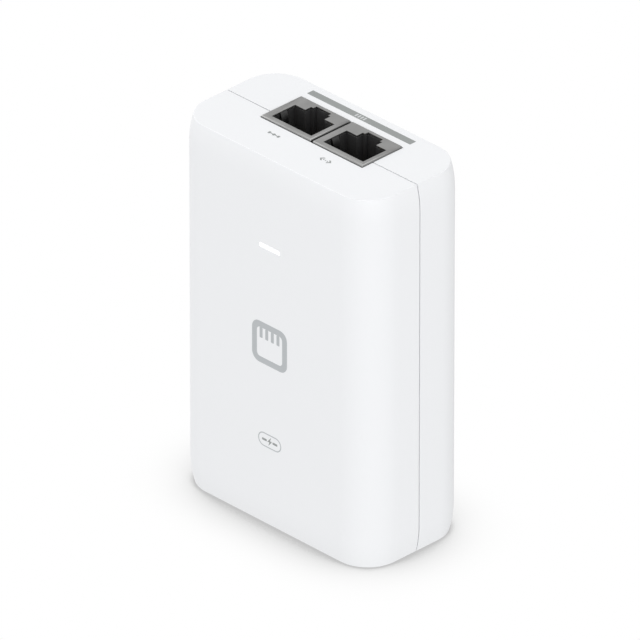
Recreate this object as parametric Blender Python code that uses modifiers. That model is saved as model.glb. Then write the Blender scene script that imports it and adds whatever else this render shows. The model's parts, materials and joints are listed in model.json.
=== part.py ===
"""PoE injector: an upright moulded mains adapter with two shielded network jacks on top.

Metres, +Z up. The front face looks towards -Y and the origin is the centre of the base.
"""

import math

import bmesh
import bpy
from mathutils import Matrix, Vector

MM = 0.001
GAP = 0.3 * MM

# housing
WIDTH = 61.0 * MM
DEPTH = 32.1 * MM
HEIGHT = 92.6 * MM
CORNER_R = 9.2 * MM
CORNER_STEPS = 14
TUCK = 0.95 * MM            # how far the walls lean in at the top and the base
TUCK_LENGTH = 6.5 * MM      # height over which they lean
TUCK_STEPS = 5
WALL = 2.0 * MM
SEAM = 0.2 * MM
LIP_INSET = 1.1 * MM        # outer skin to the tongue that laps the seam
LIP_T = 1.2 * MM
LIP_REACH = 1.5 * MM
LIP_ROOT = 3.0 * MM

# network jacks, opening upwards through the top
JACK_W = 15.5 * MM
JACK_D = 12.45 * MM
JACK_L = 15.6 * MM
JACK_Y = 2.95 * MM
JACK_X = {"data_port": -7.99 * MM, "power_port": 8.06 * MM}
JACK_PROUD = 0.38 * MM
PORT_FIT = 0.1 * MM         # housing's opening to the shields
SHEET_T = 0.3 * MM
FOLD_R = 0.32 * MM
FOLD_STEPS = 3
MOUTH_SHIFT = 0.43 * MM     # the mouth sits this far right of the shield's middle
MOUTH_MARGIN = 1.43 * MM    # front of the shield to the front of the mouth
MOUTH_W = 12.3 * MM
MOUTH_H = 7.16 * MM
LATCH_STEPS = [(5.98 * MM, 8.98 * MM), (4.6 * MM, 9.96 * MM)]  # width, reach from the mouth's front
CAVITY_DEPTH = 13.8 * MM
BODY_CLEAR = 0.2 * MM       # moulding to the inside of the shield
FINGER_W = 2.0 * MM
FINGER_L = 5.4 * MM
FINGER_T = 0.25 * MM
FINGER_BULGE = 0.5 * MM
FINGER_ROOT = 0.2 * MM      # how far the finger starts behind the mouth's edge
FINGER_PLACE = 0.52         # along the mouth's depth, from its front
FINGER_STEPS = 9
FINGER_SLOT_W = 1.5 * MM
RECESS_LIP = 1.2 * MM       # top of the moulding that stays above the contacts' recess
RECESS_D = 1.5 * MM
CONTACTS = 8
CONTACT_PITCH = 1.02 * MM
CONTACT_W = 0.45 * MM
CONTACT_T = 0.3 * MM
CONTACT_L = 9.0 * MM
CONTACT_LEAN = math.radians(13.0)
PIVOT_R = 0.35 * MM
PIVOT_DROP = 2.2 * MM       # jack's top face to the contacts' bend

# mains inlet in the base
INLET_W = 27.4 * MM
INLET_D = 20.0 * MM
INLET_L = 19.0 * MM
INLET_Y = -1.7 * MM
INLET_CAVITY_W = 24.6 * MM
INLET_CAVITY_D = 16.9 * MM
INLET_CAVITY_L = 15.6 * MM
INLET_CHAMFER = 5.5 * MM
PIN_W = 2.0 * MM
PIN_D = 4.0 * MM
PIN_TIP = 4.6 * MM          # base to the pins' tips
PIN_TAIL = 2.4 * MM         # how far a pin stands out of the inlet's back
PINS = {"inlet_line_pin": (-7.0, -2.0), "inlet_earth_pin": (0.0, 2.0), "inlet_neutral_pin": (7.0, -2.0)}

# board
BOARD_W = 53.0 * MM
BOARD_T = 1.6 * MM
BOARD_Z = (4.2 * MM, 88.6 * MM)
BOARD_FRONT = JACK_Y + JACK_D / 2 + GAP
SCREW_X = 21.5 * MM
SCREW_Z = {"board_screw_1": 27.0 * MM, "board_screw_2": 79.0 * MM}
SCREW_R = 1.1 * MM
SCREW_HEAD_R = 2.3 * MM
SCREW_HEAD_T = 1.5 * MM
SCREW_L = 4.6 * MM
BOSS_R = 2.6 * MM

# front light
LIGHT_Z = 70.8 * MM
LIGHT_W = 6.3 * MM
LIGHT_H = 1.05 * MM
LIGHT_FIT = 0.1 * MM

# blank rating label on the back
LABEL_W = 40.0 * MM
LABEL_H = 46.0 * MM
LABEL_Z = 42.0 * MM
LABEL_T = 0.3 * MM

FINISHES = {  # colour, roughness, metallic
    "white_plastic": ((0.86, 0.865, 0.87), 0.45, 0.0),
    "light_guide": ((0.97, 0.98, 1.0), 0.25, 0.0),
    "tinned_steel": ((0.42, 0.42, 0.41), 0.35, 1.0),
    "black_plastic": ((0.02, 0.02, 0.021), 0.5, 0.0),
    "gold": ((0.83, 0.62, 0.25), 0.25, 1.0),
    "nickel": ((0.62, 0.6, 0.56), 0.3, 1.0),
    "board_green": ((0.03, 0.16, 0.07), 0.4, 0.0),
    "ferrite": ((0.06, 0.06, 0.065), 0.6, 0.0),
    "yellow_tape": ((0.85, 0.62, 0.08), 0.5, 0.0),
    "copper": ((0.72, 0.32, 0.14), 0.3, 1.0),
    "can_sleeve": ((0.03, 0.04, 0.08), 0.4, 0.0),
    "aluminium": ((0.7, 0.7, 0.72), 0.35, 1.0),
    "blue_ceramic": ((0.05, 0.2, 0.5), 0.5, 0.0),
    "grey_box": ((0.35, 0.36, 0.37), 0.5, 0.0),
    "glass_fuse": ((0.75, 0.74, 0.7), 0.3, 0.0),
    "film": ((0.8, 0.8, 0.78), 0.5, 0.0),
    "led": ((0.95, 0.93, 0.8), 0.4, 0.0),
}

for old in list(bpy.data.objects):
    bpy.data.objects.remove(old)

scene = bpy.context.scene
parts = bpy.data.collections.new("poe_injector")
cutters = bpy.data.collections.new("cutters")
scene.collection.children.link(parts)
scene.collection.children.link(cutters)


def material(name, finish):
    colour, roughness, metallic = FINISHES[finish]
    made = bpy.data.materials.new(name + "_finish")
    made.use_nodes = True
    shader = made.node_tree.nodes["Principled BSDF"]
    shader.inputs["Base Color"].default_value = (*colour, 1.0)
    shader.inputs["Roughness"].default_value = roughness
    shader.inputs["Metallic"].default_value = metallic
    made.diffuse_color = (*colour, 1.0)
    return made


def add_part(name, bm, finish, location=(0, 0, 0)):
    """A part from a mesh drawn about its own origin; without a finish it is a cutter."""
    mesh = bpy.data.meshes.new(name)
    bm.to_mesh(mesh)
    bm.free()
    part = bpy.data.objects.new(name, mesh)
    part.location = location
    if finish:
        parts.objects.link(part)
        mesh.materials.append(material(name, finish))
        mesh.shade_smooth()
        mesh.set_sharp_from_angle(angle=math.radians(32))
    else:
        cutters.objects.link(part)
        part.hide_render = True
        part.display_type = "WIRE"
    return part


def boolean(part, tool, operation="DIFFERENCE", solver="EXACT"):
    step = part.modifiers.new(tool.name, "BOOLEAN")
    step.operation = operation
    step.solver = solver
    step.object = tool


def box_bm(size, centre=(0, 0, 0)):
    bm = bmesh.new()
    bmesh.ops.create_cube(bm, size=1.0, matrix=Matrix.Translation(centre) @ Matrix.Diagonal((*size, 1.0)))
    return bm


def box(name, size, location, finish=None, bevel=0.0):
    part = add_part(name, box_bm(size), finish, location)
    if bevel:
        edge = part.modifiers.new("edges", "BEVEL")
        edge.width = bevel
        edge.segments = 1
    return part


def cylinder(name, radius, length, location, axis="Z", finish=None, sides=20):
    bm = bmesh.new()
    turn = {"X": Matrix.Rotation(math.pi / 2, 4, "Y"), "Y": Matrix.Rotation(math.pi / 2, 4, "X")}
    bmesh.ops.create_cone(
        bm, cap_ends=True, segments=sides, radius1=radius, radius2=radius, depth=length,
        matrix=turn.get(axis, Matrix.Identity(4)),
    )
    return add_part(name, bm, finish, location)


def prism(name, outline, z_low, z_high, location):
    """A straight cutter with the given plan outline."""
    bm = bmesh.new()
    base = [bm.verts.new((x, y, z_low)) for x, y in outline]
    face = bm.faces.new(base)
    top = bmesh.ops.extrude_face_region(bm, geom=[face])["geom"]
    lift = [item for item in top if isinstance(item, bmesh.types.BMVert)]
    bmesh.ops.translate(bm, verts=lift, vec=(0, 0, z_high - z_low))
    bmesh.ops.recalc_face_normals(bm, faces=bm.faces)
    return add_part(name, bm, None, location)


# ---- housing shells

def tuck_at(z):
    """How far the wall has leaned in at height z: a circular arc tangent to the wall."""
    radius = (TUCK_LENGTH ** 2 + TUCK ** 2) / (2 * TUCK)
    run = max(0.0, TUCK_LENGTH - min(z, HEIGHT - z))
    return radius - math.sqrt(radius ** 2 - run ** 2)


def hull_bm(inset, y_low, y_high):
    """The housing's skin drawn in by inset, closed, between two planes across Y."""
    bm = box_bm((WIDTH, DEPTH, HEIGHT), (0, 0, HEIGHT / 2))
    upright = [e for e in bm.edges if abs(e.verts[0].co.z - e.verts[1].co.z) > HEIGHT / 2]
    bmesh.ops.bevel(bm, geom=upright, offset=CORNER_R, segments=CORNER_STEPS, profile=0.5, affect="EDGES")
    lean = math.asin(2 * TUCK_LENGTH * TUCK / (TUCK_LENGTH ** 2 + TUCK ** 2))
    for step in range(TUCK_STEPS):
        run = TUCK_LENGTH * math.sin(lean * step / TUCK_STEPS) / math.sin(lean)
        for height in (TUCK_LENGTH - run, HEIGHT - TUCK_LENGTH + run):
            everything = bm.verts[:] + bm.edges[:] + bm.faces[:]
            bmesh.ops.bisect_plane(bm, geom=everything, plane_co=(0, 0, height), plane_no=(0, 0, 1))
    core = Vector((WIDTH / 2 - CORNER_R, DEPTH / 2 - CORNER_R, 0))
    for vert in bm.verts:
        nearest = Vector((
            max(-core.x, min(core.x, vert.co.x)), max(-core.y, min(core.y, vert.co.y)), vert.co.z))
        outward = (vert.co - nearest).normalized()
        vert.co -= outward * (tuck_at(vert.co.z) + inset)
        vert.co.z = max(inset, min(HEIGHT - inset, vert.co.z))
    for y, facing in ((y_low, -1), (y_high, 1)):
        everything = bm.verts[:] + bm.edges[:] + bm.faces[:]
        bmesh.ops.bisect_plane(
            bm, geom=everything, plane_co=(0, y, 0), plane_no=(0, facing, 0), clear_outer=True)
    bmesh.ops.holes_fill(bm, edges=[e for e in bm.edges if e.is_boundary], sides=0)
    return bm


def hollow_hull(name, inset, thickness, y_low, y_high, finish=None):
    """A slice of the housing's skin, open at whichever end is cut."""
    skin = add_part(name, hull_bm(inset, y_low, y_high), finish)
    cavity = add_part(name + "_cavity", hull_bm(inset + thickness, y_low - WALL, y_high + WALL), None)
    boolean(skin, cavity)
    return skin


def thicken(part, thickness):
    skin = part.modifiers.new("wall", "SOLIDIFY")
    skin.thickness = thickness
    skin.offset = -1.0
    skin.use_even_offset = True


def openings():
    """Cutters for what passes through the housing's top, base and front."""
    left = JACK_X["data_port"] - JACK_W / 2 - PORT_FIT
    right = JACK_X["power_port"] + JACK_W / 2 + PORT_FIT
    ports = box("port_opening", (right - left, JACK_D + 2 * PORT_FIT, 8 * WALL),
                ((left + right) / 2, JACK_Y, HEIGHT))
    inlet = box("inlet_opening", (INLET_W + 2 * GAP, INLET_D + 2 * GAP, 8 * WALL), (0, INLET_Y, 0))
    light = box("light_opening", (LIGHT_W + 2 * LIGHT_FIT, 4 * WALL, LIGHT_H + 2 * LIGHT_FIT),
                (0, -DEPTH / 2, LIGHT_Z))
    return ports, inlet, light


def front_shell(ports, inlet, light):
    """Front half, with the tongue that laps the seam."""
    shell = hollow_hull("front_shell", 0.0, WALL, -DEPTH, -SEAM / 2, "white_plastic")
    boolean(shell, hollow_hull("tongue", LIP_INSET, LIP_T, -LIP_ROOT, LIP_REACH), "UNION")
    for tool in (ports, inlet, light):
        boolean(shell, tool)


def rear_shell(ports, inlet):
    """Rear half, with the rebate for the tongue, two board bosses and the label's recess."""
    shell = hollow_hull("rear_shell", 0.0, WALL, SEAM / 2, DEPTH, "white_plastic")
    boolean(shell, add_part("rebate", hull_bm(LIP_INSET - GAP, -LIP_ROOT, LIP_REACH + GAP), None))
    board_back = BOARD_FRONT + BOARD_T
    boss_l = DEPTH / 2 - WALL / 2 - board_back - GAP
    for number, (name, z) in enumerate(SCREW_Z.items()):
        x = SCREW_X if number else -SCREW_X
        boss = cylinder(name + "_boss", BOSS_R, boss_l, (x, board_back + GAP + boss_l / 2, z), "Y", sides=16)
        hole = cylinder(name + "_hole", SCREW_R + GAP, SCREW_L, (x, board_back + SCREW_L / 2 - BOARD_T, z),
                        "Y", sides=12)
        boolean(shell, boss, "UNION")
        boolean(shell, hole)
    recess = box("label_recess", (LABEL_W + 2 * GAP, 4 * LABEL_T, LABEL_H + 2 * GAP),
                 (0, DEPTH / 2, LABEL_Z))
    for tool in (ports, inlet, recess):
        boolean(shell, tool)


def rating_label():
    box("rating_label", (LABEL_W, LABEL_T, LABEL_H), (0, DEPTH / 2 - LABEL_T / 2 - 0.05 * MM, LABEL_Z), "film")


# ---- front light

def light_pipe():
    head_l = 3.2 * MM
    stem_end = BOARD_FRONT - 1.6 * MM
    pipe = box("light_pipe", (LIGHT_W, head_l, LIGHT_H), (0, (head_l - DEPTH) / 2, LIGHT_Z), "light_guide")
    collar_y = WALL + GAP - DEPTH / 2
    collar = box("light_collar", (LIGHT_W + 2.4 * MM, 1.2 * MM, LIGHT_H + 1.6 * MM),
                 (0, collar_y + 0.6 * MM, LIGHT_Z))
    stem_l = stem_end - collar_y - 0.2 * MM
    stem = box("light_stem", (2.8 * MM, stem_l, 1.8 * MM), (0, stem_end - stem_l / 2, LIGHT_Z))
    boolean(pipe, collar, "UNION")
    boolean(pipe, stem, "UNION")
    box("status_led", (1.6 * MM, 0.9 * MM, 0.8 * MM), (0, BOARD_FRONT - GAP - 0.45 * MM, LIGHT_Z), "led")


# ---- network jacks

def mouth_outline():
    """Plug mouth seen from above: wide throat at the front, two latch steps behind it."""
    front = MOUTH_MARGIN - JACK_D / 2
    half = [(MOUTH_W / 2, front), (MOUTH_W / 2, front + MOUTH_H)]
    reach = MOUTH_H
    for width, next_reach in LATCH_STEPS:
        half += [(width / 2, front + reach), (width / 2, front + next_reach)]
        reach = next_reach
    outline = half + [(-x, y) for x, y in reversed(half)]
    return [(x + MOUTH_SHIFT, y) for x, y in outline]


def jack_shield(name, x):
    """Folded sheet box, open underneath, with the mouth cut in its top and two ground fingers."""
    top = HEIGHT + JACK_PROUD
    bm = box_bm((JACK_W, JACK_D, JACK_L), (0, 0, -JACK_L / 2))
    under = [f for f in bm.faces if f.normal.z < -0.5]
    bmesh.ops.delete(bm, geom=under, context="FACES_ONLY")
    folds = [e for e in bm.edges if not e.is_boundary]
    bmesh.ops.bevel(bm, geom=folds, offset=FOLD_R, segments=FOLD_STEPS, profile=0.5, affect="EDGES")
    shield = add_part(name + "_shield", bm, "tinned_steel", (x, JACK_Y, top))
    thicken(shield, SHEET_T)
    mouth = prism(name + "_mouth", mouth_outline(), -4 * SHEET_T, 4 * SHEET_T, (x, JACK_Y, top))
    boolean(shield, mouth)
    for side in (-1, 1):
        boolean(shield, ground_finger(name, side, x + MOUTH_SHIFT, top), "UNION")


def ground_finger(name, side, x, top):
    """A sprung strip that hangs from the mouth's edge and bows into the plug space."""
    root = MOUTH_W / 2 + FINGER_ROOT
    bow = FINGER_BULGE + FINGER_ROOT
    inner = []
    for step in range(FINGER_STEPS + 1):
        share = step / FINGER_STEPS
        inner.append((root - bow * math.sin(math.pi * share), -FINGER_L * share))
    outer = [(u + FINGER_T, v) for u, v in reversed(inner)]
    outline = [(side * u, v - 0.1 * SHEET_T) for u, v in inner + outer]
    bm = bmesh.new()
    face = bm.faces.new([bm.verts.new((u, -FINGER_W / 2, v)) for u, v in outline])
    side_geom = bmesh.ops.extrude_face_region(bm, geom=[face])["geom"]
    moved = [item for item in side_geom if isinstance(item, bmesh.types.BMVert)]
    bmesh.ops.translate(bm, verts=moved, vec=(0, FINGER_W, 0))
    bmesh.ops.recalc_face_normals(bm, faces=bm.faces)
    label = "_finger_left" if side < 0 else "_finger_right"
    return add_part(name + label, bm, None, (x, finger_y(), top))


def mouth_front():
    return JACK_Y - JACK_D / 2 + MOUTH_MARGIN


def finger_y():
    return mouth_front() + FINGER_PLACE * MOUTH_H


def jack_body(name, x):
    """Black moulding inside the shield: plug cavity, recess for the contacts, finger slots."""
    clear = SHEET_T + BODY_CLEAR
    top = HEIGHT + JACK_PROUD
    size = (JACK_W - 2 * clear, JACK_D - 2 * clear, JACK_L - clear)
    body = box(name + "_body", size, (x, JACK_Y, top - clear - size[2] / 2), "black_plastic")
    cavity = prism(name + "_cavity", mouth_outline(), -CAVITY_DEPTH, 2 * MM, (x, JACK_Y, top))
    boolean(body, cavity)
    middle = x + MOUTH_SHIFT
    recess_w = (CONTACTS - 1) * CONTACT_PITCH + 2 * MM
    recess_l = CAVITY_DEPTH - RECESS_LIP
    recess = box(name + "_contact_recess", (recess_w, RECESS_D, recess_l),
                 (middle, mouth_front() - 0.5 * MM + RECESS_D / 2, top - RECESS_LIP - recess_l / 2))
    boolean(body, recess)
    for side, label in ((-1, "left"), (1, "right")):
        slot = box(name + "_finger_slot_" + label,
                   (FINGER_SLOT_W, FINGER_W + 2 * GAP, 2 * (FINGER_L + 1 * MM)),
                   (middle + side * MOUTH_W / 2, finger_y(), top))
        boolean(body, slot)


def jack_contacts(name, x):
    """Eight sprung wires on one bend line; the object's origin is that line, its hinge axis."""
    pivot = (x + MOUTH_SHIFT, mouth_front(), HEIGHT + JACK_PROUD - PIVOT_DROP)
    span = (CONTACTS - 1) * CONTACT_PITCH
    contacts = cylinder(name + "_contacts", PIVOT_R, span + CONTACT_W + 0.6 * MM, pivot, "X", "gold", sides=10)
    for number in range(CONTACTS):
        bm = box_bm((CONTACT_W, CONTACT_T, CONTACT_L), (0, 0, -CONTACT_L / 2))
        bmesh.ops.rotate(bm, verts=bm.verts, cent=(0, 0, 0), matrix=Matrix.Rotation(CONTACT_LEAN, 3, "X"))
        bmesh.ops.translate(bm, verts=bm.verts, vec=(number * CONTACT_PITCH - span / 2, 0, 0))
        wire = add_part(name + "_wire_" + str(number + 1), bm, None, pivot)
        boolean(contacts, wire, "UNION")


# ---- mains inlet

def inlet():
    body = box("inlet_body", (INLET_W, INLET_D, INLET_L), (0, INLET_Y, INLET_L / 2), "black_plastic")
    half_w = INLET_CAVITY_W / 2
    half_d = INLET_CAVITY_D / 2
    outline = [(-half_w, -half_d), (half_w, -half_d), (half_w, half_d - INLET_CHAMFER),
               (half_w - INLET_CHAMFER, half_d), (INLET_CHAMFER - half_w, half_d),
               (-half_w, half_d - INLET_CHAMFER)]
    cavity = prism("inlet_cavity", outline, -WALL, INLET_CAVITY_L, (0, INLET_Y, 0))
    boolean(body, cavity)
    for name, (u, v) in PINS.items():
        x = u * MM
        y = INLET_Y + v * MM
        slot = box(name + "_slot", (PIN_W + GAP, PIN_D + GAP, INLET_L), (x, y, INLET_L))
        boolean(body, slot)
        length = INLET_L + PIN_TAIL - PIN_TIP
        pin = box(name, (PIN_W, PIN_D, length), (x, y, PIN_TIP + length / 2), "nickel")
        tail_l = BOARD_FRONT - GAP - y
        tail = box(name + "_tail", (PIN_W * 0.6, tail_l, 0.8 * MM), (x, y + tail_l / 2, INLET_L + PIN_TAIL - 0.6 * MM))
        boolean(pin, tail, "UNION")


# ---- board and what stands on it

def seated(depth):
    """Centre, across Y, of a component of this depth standing on the board's front."""
    return BOARD_FRONT - GAP - depth / 2


def main_board():
    middle = sum(BOARD_Z) / 2
    board = box("main_board", (BOARD_W, BOARD_T, BOARD_Z[1] - BOARD_Z[0]),
                (0, BOARD_FRONT + BOARD_T / 2, middle), "board_green")
    box("insulation_sheet", (36.8 * MM, GAP, 80.0 * MM), (0, BOARD_FRONT + BOARD_T + 1.2 * MM, middle), "film")
    for number, (name, z) in enumerate(SCREW_Z.items()):
        x = SCREW_X if number else -SCREW_X
        hole = cylinder(name + "_board_hole", SCREW_R + GAP, 4 * BOARD_T, (x, BOARD_FRONT, z), "Y", sides=12)
        boolean(board, hole)
        head_y = BOARD_FRONT - GAP
        profile = [(0, SCREW_HEAD_T), (SCREW_HEAD_R * 0.75, SCREW_HEAD_T), (SCREW_HEAD_R, SCREW_HEAD_T * 0.45),
                   (SCREW_HEAD_R, 0), (SCREW_R, 0), (SCREW_R, -SCREW_L + 0.8 * MM), (0, -SCREW_L)]
        screw = turned(name, profile, (x, head_y, z), "nickel", sides=12)
        screw.rotation_euler.x = math.pi / 2


def turned(name, profile, location, finish, sides=20):
    """A profile of radius and height, top to bottom, turned about its own Z."""
    bm = bmesh.new()
    verts = [bm.verts.new((radius, 0, height)) for radius, height in profile]
    for first, second in zip(verts, verts[1:]):
        bm.edges.new((first, second))
    part = add_part(name, bm, finish, location)
    turn = part.modifiers.new("turn", "SCREW")
    turn.steps = sides
    turn.render_steps = sides
    turn.use_merge_vertices = True
    turn.merge_threshold = 0.00005
    turn.use_smooth_shade = True
    return part


def can_capacitor(name, radius, length, location, upright):
    """Electrolytic can with its crimp groove, lying along Z or standing off the board."""
    groove = length - 2.5 * MM
    profile = [(0, length), (radius - 0.5 * MM, length), (radius, length - 0.5 * MM), (radius, groove + 0.6 * MM),
               (radius - 0.5 * MM, groove), (radius, groove - 0.6 * MM), (radius, 0), (0, 0)]
    can = turned(name, profile, location, "can_sleeve", sides=20)
    if upright:
        can.rotation_euler.x = math.pi / 2


def mains_side():
    fuse_r = 2.6 * MM
    cylinder("line_fuse", fuse_r, 17 * MM, (23.6 * MM, seated(2 * fuse_r), 14 * MM), "Z", "glass_fuse", sides=14)
    cylinder("surge_varistor", 5 * MM, 4 * MM, (17.2 * MM, seated(10 * MM), 13 * MM), "X", "blue_ceramic")
    box("x_capacitor", (10 * MM, 12 * MM, 16 * MM), (-20 * MM, seated(12 * MM), 14 * MM), "grey_box", 0.4 * MM)
    box("bridge_rectifier", (12 * MM, 4.5 * MM, 11 * MM), (20.5 * MM, seated(4.5 * MM), 48.5 * MM),
        "black_plastic", 0.4 * MM)
    bulk_r = 7 * MM
    can_capacitor("bulk_capacitor", bulk_r, 23 * MM, (-20.3 * MM, seated(2 * bulk_r), 31.5 * MM), False)
    choke()


def choke():
    """Common-mode choke: a square ferrite ring with a winding on each upright leg."""
    x = 20.5 * MM
    z = 33 * MM
    leg = 3.0 * MM
    y = seated(10 * MM)
    core = box("choke_core", (12.5 * MM, leg, 15 * MM), (x, y, z), "ferrite")
    boolean(core, box("choke_window", (12.5 * MM - 2 * leg, 4 * leg, 15 * MM - 2 * leg), (x, y, z)))
    for number, side in enumerate((-1, 1)):
        centre = (x + side * (12.5 * MM - leg) / 2, y, z)
        name = "choke_winding_" + str(number + 1)
        winding = cylinder(name, 3.0 * MM, 8.2 * MM, centre, "Z", "copper", sides=16)
        boolean(winding, box(name + "_bore", (leg + 0.6 * MM, leg + 0.6 * MM, 12 * MM), centre))


def transformer():
    """Flyback transformer: twin-window ferrite core with the taped winding on its middle leg."""
    width = 24.0 * MM
    leg = 3.1 * MM
    thick = 7.0 * MM
    height = 23.0 * MM
    middle = 6.6 * MM
    coil = 17.6 * MM
    x = 0.0
    y = seated(coil)
    z = 42.0 * MM
    core = box("transformer_core", (width, thick, height), (x, y, z), "ferrite")
    window = (width - 2 * leg - middle) / 2
    for side in (-1, 1):
        label = "left" if side < 0 else "right"
        centre = (x + side * (middle + window) / 2, y, z)
        boolean(core, box("core_window_" + label, (window, 2 * thick, height - 2 * leg), centre))
    coil_size = (width - 2 * leg - 2 * GAP, coil, height - 2 * leg - 2 * GAP)
    winding = box("transformer_winding", coil_size, (x, y, z), "yellow_tape", 1.2 * MM)
    boolean(winding, box("winding_bore", (middle + 2 * GAP, thick + 2 * GAP, height), (x, y, z)))


def output_side():
    for name, tab, x, z in (("primary", "switching_transistor", -20.5, 57.0),
                            ("secondary", "output_diode", -20.5, 66.0)):
        x *= MM
        z *= MM
        sink_t = 1.5 * MM
        sink_d = 17 * MM
        chip_t = 4.4 * MM
        box(name + "_heatsink", (12 * MM, sink_d, sink_t), (x, seated(sink_d), z), "aluminium")
        box(tab, (10 * MM, 15 * MM, chip_t), (x, seated(15 * MM), z + sink_t / 2 + GAP + chip_t / 2),
            "black_plastic", 0.4 * MM)
    for number, z in enumerate((60.5 * MM, 71.2 * MM)):
        can_capacitor("output_capacitor_" + str(number + 1), 5 * MM, 15 * MM,
                      (21.6 * MM, BOARD_FRONT - GAP, z), True)
    cylinder("y_capacitor", 3.8 * MM, 4 * MM, (-9.5 * MM, seated(7.6 * MM), 25.6 * MM), "X", "blue_ceramic")
    box("optocoupler", (6.4 * MM, 3.4 * MM, 4.6 * MM), (8 * MM, seated(3.4 * MM), 25.6 * MM), "black_plastic")
    box("output_inductor", (8 * MM, 5 * MM, 7 * MM), (-8 * MM, seated(5 * MM), 58.4 * MM), "ferrite", 0.6 * MM)
    box("power_controller", (5 * MM, 1.5 * MM, 4 * MM), (2.5 * MM, seated(1.5 * MM), 58 * MM), "black_plastic")
    box("feed_controller", (6 * MM, 1.0 * MM, 6 * MM), (10.5 * MM, seated(1.0 * MM), 58.4 * MM), "black_plastic")
    for number, x in enumerate((-8.6 * MM, 8.6 * MM)):
        box("lan_transformer_" + str(number + 1), (11.4 * MM, 5.6 * MM, 12 * MM),
            (x, seated(5.6 * MM), 69.4 * MM), "black_plastic", 0.3 * MM)


port_cutter, inlet_cutter, light_cutter = openings()
front_shell(port_cutter, inlet_cutter, light_cutter)
rear_shell(port_cutter, inlet_cutter)
rating_label()
light_pipe()
for port, port_x in JACK_X.items():
    jack_shield(port, port_x)
    jack_body(port, port_x)
    jack_contacts(port, port_x)
inlet()
main_board()
mains_side()
transformer()
output_side()
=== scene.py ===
import json
import math
import bmesh
import bpy
from mathutils import Matrix, Vector

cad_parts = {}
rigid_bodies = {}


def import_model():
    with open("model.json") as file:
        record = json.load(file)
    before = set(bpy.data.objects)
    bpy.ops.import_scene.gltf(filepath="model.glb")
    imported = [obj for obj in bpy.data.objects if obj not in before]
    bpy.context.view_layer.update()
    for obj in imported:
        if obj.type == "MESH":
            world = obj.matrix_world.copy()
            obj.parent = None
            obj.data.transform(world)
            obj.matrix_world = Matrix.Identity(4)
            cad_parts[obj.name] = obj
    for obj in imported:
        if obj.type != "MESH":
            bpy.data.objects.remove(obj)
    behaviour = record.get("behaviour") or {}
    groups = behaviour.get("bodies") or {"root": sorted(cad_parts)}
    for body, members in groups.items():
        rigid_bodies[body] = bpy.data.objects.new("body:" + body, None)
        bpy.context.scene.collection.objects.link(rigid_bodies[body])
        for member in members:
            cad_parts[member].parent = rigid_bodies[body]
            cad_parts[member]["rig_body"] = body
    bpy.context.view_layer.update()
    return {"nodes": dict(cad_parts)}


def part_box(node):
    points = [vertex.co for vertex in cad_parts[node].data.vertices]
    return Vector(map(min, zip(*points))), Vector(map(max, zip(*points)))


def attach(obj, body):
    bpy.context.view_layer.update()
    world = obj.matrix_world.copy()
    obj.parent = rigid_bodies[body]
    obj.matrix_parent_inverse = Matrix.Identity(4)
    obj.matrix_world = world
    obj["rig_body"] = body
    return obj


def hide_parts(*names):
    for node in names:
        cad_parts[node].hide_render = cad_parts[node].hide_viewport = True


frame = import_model()
nodes = frame["nodes"]
print("frame loaded:", len(nodes), "nodes")

mm = 0.001
shellLow = Vector(map(min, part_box("front_shell")[0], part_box("rear_shell")[0]))
shellHigh = Vector(map(max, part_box("front_shell")[1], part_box("rear_shell")[1]))
frontY = shellLow.y
topZ = shellHigh.z


# camera and studio

shot = {
    "azimuth": 45.456,      # degrees round from the front, towards the right side
    "elevation": 30.01,
    "distance": 4.4304,
    "lens": 1136.4,         # a long lens from far away, so the sides stay nearly parallel
    "aimRight": -0.4 * mm,
    "aimHeight": 46.4 * mm,
}


def directionOf(azimuth, elevation):
    # unit vector from the object towards a camera or lamp at that azimuth and elevation
    a = math.radians(azimuth)
    e = math.radians(elevation)
    return Vector((math.sin(a) * math.cos(e), -math.cos(a) * math.cos(e), math.sin(e)))


def makeCamera():
    back = directionOf(shot["azimuth"], shot["elevation"])
    turn = math.radians(shot["azimuth"])
    right = Vector((math.cos(turn), math.sin(turn), 0))
    data = bpy.data.cameras.new("camera")
    data.lens = shot["lens"]
    data.clip_start = 0.1
    data.clip_end = 20
    camera = bpy.data.objects.new("camera", data)
    camera.location = right * shot["aimRight"] + Vector((0, 0, shot["aimHeight"])) + back * shot["distance"]
    camera.rotation_mode = "QUATERNION"
    camera.rotation_quaternion = (-back).to_track_quat("-Z", "Y")
    bpy.context.scene.collection.objects.link(camera)
    bpy.context.scene.camera = camera


studio = {
    "skyColour": (1.0, 1.0, 1.0),
    "skyStrength": 0.886,
    "backShare": 0.50,          # the sky behind the object is this much of the rest
    "backFade": (0.2, 0.9),     # where it begins and is full: 0 is beside the object, 1 straight behind
    "lampDistance": 1.6,
    "floorSize": 8.0,
    "floorReach": 18.0 * mm,    # how far out the floor darkens towards what stands on it
    "floorDrop": 0.01 * mm,     # gap that keeps the floor clear of the object's base
    "floorShades": ((0.275, 2.1), (0.175, 12.0)),  # depth and falloff: wide shade, contact line
}

lamps = {  # azimuth and elevation of each soft lamp, its diameter and its power
    "key": {"azimuth": 56.0, "elevation": 17.0, "size": 1.6, "power": 9.3},
    "left": {"azimuth": -86.0, "elevation": 17.0, "size": 1.6, "power": 8.1},
    "top": {"azimuth": 180.0, "elevation": 78.0, "size": 1.2, "power": 5.5},
}


def makeLamp(name, look):
    data = bpy.data.lights.new(name, "AREA")
    data.shape = "DISK"
    data.size = look["size"]
    data.energy = look["power"]
    lamp = bpy.data.objects.new(name, data)
    towards = directionOf(look["azimuth"], look["elevation"])
    lamp.location = Vector((0, 0, shellHigh.z / 2)) + towards * studio["lampDistance"]
    lamp.rotation_mode = "QUATERNION"
    lamp.rotation_quaternion = towards.to_track_quat("Z", "Y")
    bpy.context.scene.collection.objects.link(lamp)


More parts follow.
